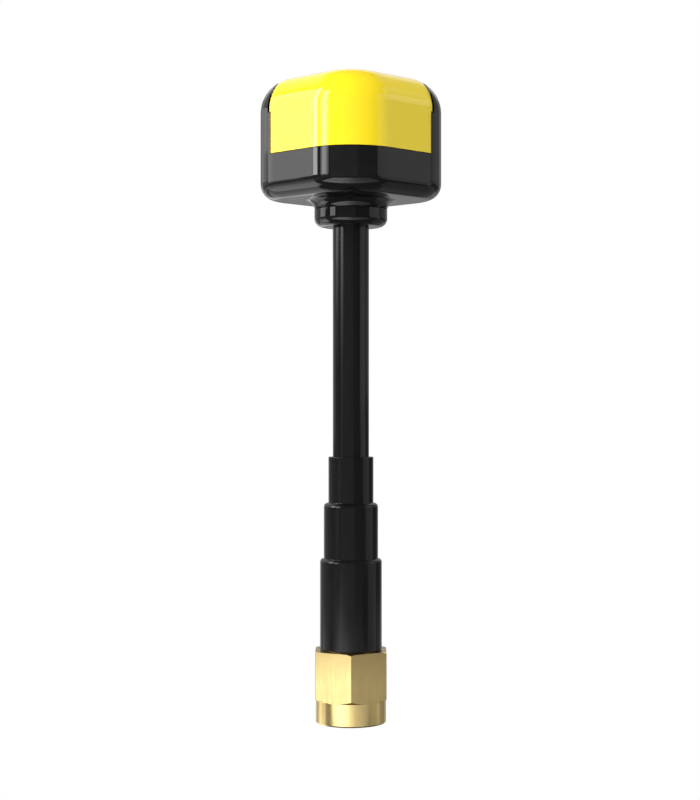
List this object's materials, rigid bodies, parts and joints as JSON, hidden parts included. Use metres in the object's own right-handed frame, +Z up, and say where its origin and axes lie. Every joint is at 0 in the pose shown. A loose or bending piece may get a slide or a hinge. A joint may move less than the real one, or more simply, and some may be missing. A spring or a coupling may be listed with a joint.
{
  "type": "screw-on stem antenna",
  "caption": "Small circularly polarised antenna: square two-colour head on a stiff cable stem with a stepped strain relief and a gold SMA plug with spinning nut.",
  "frame": {"origin": "centre of the plug's open mouth, on the coupling nut's end face, where the antenna screws onto its jack", "axes": "+Z up the stem from the plug to the head; the black ears on the head's corners point along +X and -X, and the yellow corners along +Y and -Y; the head is centred on Z"},
  "size_m": [0.0204, 0.0204, 0.0726],
  "materials": {
    "cover_plastic": "bright yellow moulded plastic, glossy with a very fine moulded grain",
    "shell_plastic": "black moulded plastic, polished",
    "shrink_sleeve": "black heat-shrunk polyolefin, semi-gloss",
    "cable_sheath": "black fluoropolymer cable jacket, smooth and glossy",
    "gold_plate": "turned brass with thin bright gold plating",
    "ptfe": "white waxy fluoropolymer",
    "epoxy_bead": "cured clear-white adhesive",
    "circuit_board": "glass-epoxy board with green solder mask",
    "copper": "bare copper wire, lightly oxidised",
    "solder": "tin solder, smooth and bright",
    "tinned_braid": "tin-soaked copper braid",
    "silvered_wire": "silver-plated copper-clad steel wire",
    "silicone": "red-brown silicone rubber",
    "spring_bronze": "phosphor bronze, drawn and dull"
  },
  "bodies": {
    "antenna": {"top_cover": "cover_plastic", "base_shell": "shell_plastic", "neck_collar": "shell_plastic", "strain_sleeve": "shrink_sleeve", "inner_sleeve": "shrink_sleeve", "cable_jacket": "cable_sheath", "connector_body": "gold_plate", "centre_pin": "gold_plate", "crimp_ferrule": "gold_plate", "connector_insulator": "ptfe", "cable_dielectric": "ptfe", "feed_spacer": "ptfe", "glue_bead": "epoxy_bead", "lower_board": "circuit_board", "upper_board": "circuit_board", "radiator_arm_1": "copper", "radiator_arm_2": "copper", "radiator_arm_3": "copper", "radiator_arm_4": "copper", "shield_solder": "solder", "feed_solder": "solder", "cable_braid": "tinned_braid", "cable_core": "silvered_wire", "gasket": "silicone"},
    "ring": {"retaining_ring": "spring_bronze"},
    "nut": {"coupling_nut": "gold_plate"}
  },
  "joints": [
    {"name": "nut_slide", "type": "slide", "parent": "antenna", "child": "ring", "axis": [0, 0, -1], "range_m": [0, 0.0003]},
    {"name": "nut_spin", "type": "hinge", "parent": "ring", "child": "nut", "pos_m": [0, 0, 0.0041], "axis": [0, 0, 1], "continuous": true}
  ]
}
